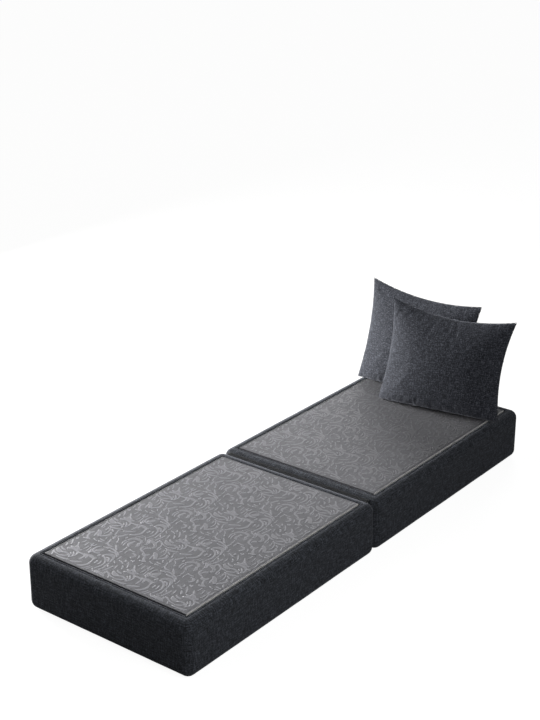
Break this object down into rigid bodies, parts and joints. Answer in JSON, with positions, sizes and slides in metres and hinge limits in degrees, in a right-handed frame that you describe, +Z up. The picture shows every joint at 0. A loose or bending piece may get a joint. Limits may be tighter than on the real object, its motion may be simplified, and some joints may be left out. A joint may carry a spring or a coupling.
{
  "type": "fold-out ottoman guest bed",
  "caption": "Foam guest bed of linen-covered blocks with jacquard sleeping panels that folds face to face into an ottoman, with loose pillows.",
  "frame": {"origin": "on the floor, under the middle of the fold line between the two blocks", "axes": "+Z up, +Y along the bed from the foot end to the head end with the pillows, +X across the bed to its right side"},
  "size_m": [0.7033, 2.0078, 0.5886],
  "materials": {
    "linen": "coarse weave",
    "jacquard": "satin weave",
    "welt_cord": "satin weave",
    "black_tape": "woven tape",
    "foam": "open-cell foam",
    "comfort_foam": "open-cell foam",
    "wadding": "fibre",
    "zip_nylon": "moulded",
    "zip_metal": "painted die casting"
  },
  "bodies": {
    "head_block": {"head_base_foam": "foam", "head_comfort_foam": "comfort_foam", "head_side_band": "linen", "head_base_cloth": "linen", "head_flange_tape": "black_tape", "head_welt": "welt_cord", "head_panel_wadding": "wadding", "head_top_panel": "jacquard", "head_zip_tapes": "black_tape", "head_zip_chain": "zip_nylon", "hinge_strip": "black_tape"},
    "foot_block": {"foot_base_foam": "foam", "foot_comfort_foam": "comfort_foam", "foot_side_band": "linen", "foot_base_cloth": "linen", "foot_flange_tape": "black_tape", "foot_welt": "welt_cord", "foot_panel_wadding": "wadding", "foot_top_panel": "jacquard", "foot_zip_tapes": "black_tape", "foot_zip_chain": "zip_nylon"},
    "head_zip": {"head_zip_slider": "zip_metal"},
    "foot_zip": {"foot_zip_slider": "zip_metal"},
    "front_pillow": {"front_pillow_face_cover": "linen", "front_pillow_back_cover": "linen", "front_pillow_filling": "wadding", "front_pillow_zip": "zip_nylon"},
    "rear_pillow": {"rear_pillow_face_cover": "linen", "rear_pillow_back_cover": "linen", "rear_pillow_filling": "wadding", "rear_pillow_zip": "zip_nylon"}
  },
  "joints": [
    {"name": "fold", "type": "hinge", "parent": "head_block", "child": "foot_block", "pos_m": [0, 0, 0.202], "axis": [-1, 0, 0], "range_deg": [0, 180], "deforming": ["hinge_strip"]},
    {"name": "head_zip_slide", "type": "slide", "parent": "head_block", "child": "head_zip", "axis": [-1, 0, 0], "range_m": [0, 0.55]},
    {"name": "foot_zip_slide", "type": "slide", "parent": "foot_block", "child": "foot_zip", "axis": [-1, 0, 0], "range_m": [0, 0.55]},
    {"name": "front_pillow_off", "type": "slide", "parent": "head_block", "child": "front_pillow", "axis": [0, 1, 0], "range_m": [0, 0.401]},
    {"name": "rear_pillow_off", "type": "slide", "parent": "head_block", "child": "rear_pillow", "axis": [0, 1, 0], "range_m": [0, 0.401]}
  ],
  "couplings": [
    {"joint": "front_pillow_off", "follows": "fold", "m_per_rad": 0.1273},
    {"joint": "rear_pillow_off", "follows": "fold", "m_per_rad": 0.1273}
  ]
}
